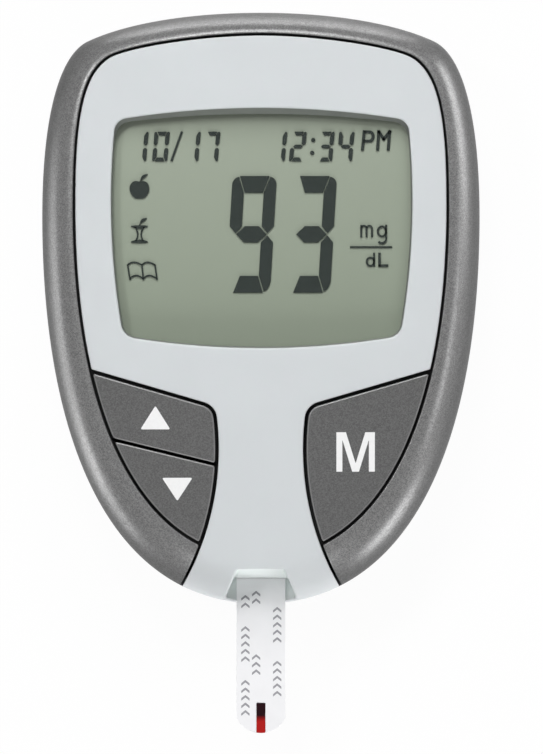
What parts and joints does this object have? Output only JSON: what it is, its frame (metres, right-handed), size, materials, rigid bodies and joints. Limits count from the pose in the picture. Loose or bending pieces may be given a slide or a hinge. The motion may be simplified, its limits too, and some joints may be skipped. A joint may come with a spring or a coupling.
{
  "type": "blood glucose meter",
  "caption": "Palm-size blood glucose meter with a framed display, press keys beside a waisted panel, a sliding battery door and a test strip in its port.",
  "frame": {"origin": "centre of the body's outline on the resting plane, on the flat back of the rear case", "axes": "+Z out of the display, +Y to the top end away from the test strip, +X to the right when the display is read"},
  "size_m": [0.057, 0.0938, 0.0189],
  "materials": {
    "panel_plastic": "satin moulded plastic, pale blue-grey",
    "trim_paint": "metallic grey paint, fine flake",
    "key_plastic": "dark grey paint, fine flake",
    "case_plastic": "fine-textured moulded plastic",
    "black_plastic": "moulded plastic",
    "lens_clear": "clear polished sheet",
    "display_glass": "clear thin glass",
    "polariser_film": "satin film",
    "reflector_film": "satin film",
    "foam": "closed-cell foam",
    "elastomer": "layered silicone",
    "circuit_board": "solder mask over glass fibre",
    "chip_body": "moulded epoxy",
    "ceramic": "fired ceramic",
    "steel": "bright sheet and screw steel",
    "cell_steel": "polished can",
    "contact_gold": "gold-plated spring leaf",
    "label_film": "matt film",
    "strip_film": "white polyester film",
    "electrode_ink": "printed carbon ink",
    "blood": "wet dark red sample"
  },
  "bodies": {
    "housing": {"rear_case": "case_plastic", "trim_ring": "trim_paint", "front_panel": "panel_plastic", "display_lens": "lens_clear", "rating_label": "label_film", "case_screws": "steel", "lens_gasket": "foam", "lcd_polariser": "polariser_film", "lcd_front_glass": "display_glass", "lcd_rear_glass": "display_glass", "lcd_reflector": "reflector_film", "upper_zebra_strip": "elastomer", "lower_zebra_strip": "elastomer", "chassis": "black_plastic", "main_board": "circuit_board", "microcontroller": "chip_body", "memory_chip": "chip_body", "clock_crystal": "steel", "buzzer": "black_plastic", "chip_components": "ceramic", "data_jack": "black_plastic", "strip_connector": "black_plastic", "strip_contacts": "contact_gold", "up_switch": "black_plastic", "down_switch": "black_plastic", "memory_switch": "black_plastic", "left_coin_cell": "cell_steel", "right_coin_cell": "cell_steel", "positive_contact": "steel", "link_contact": "steel", "negative_contact": "steel"},
    "up_button": {"up_key": "key_plastic", "up_plunger": "label_film"},
    "down_button": {"down_key": "key_plastic", "down_plunger": "label_film"},
    "memory_button": {"memory_key": "key_plastic", "memory_plunger": "label_film"},
    "door": {"battery_door": "case_plastic"},
    "test_strip": {"strip_base": "strip_film", "strip_electrodes": "electrode_ink", "strip_lid": "strip_film", "sample_fill": "blood"}
  },
  "joints": [
    {"name": "up_press", "type": "slide", "parent": "housing", "child": "up_button", "axis": [0, 0, -1], "range_m": [0, 0.0005], "stiffness_N_per_m": 2000},
    {"name": "down_press", "type": "slide", "parent": "housing", "child": "down_button", "axis": [0, 0, -1], "range_m": [0, 0.0005], "stiffness_N_per_m": 2000},
    {"name": "memory_press", "type": "slide", "parent": "housing", "child": "memory_button", "axis": [0, 0, -1], "range_m": [0, 0.0005], "stiffness_N_per_m": 2000},
    {"name": "door_slide", "type": "slide", "parent": "housing", "child": "door", "axis": [0, 1, 0], "range_m": [0, 0.03]},
    {"name": "strip_slide", "type": "slide", "parent": "housing", "child": "test_strip", "axis": [0, -1, 0], "range_m": [0, 0.009]}
  ]
}
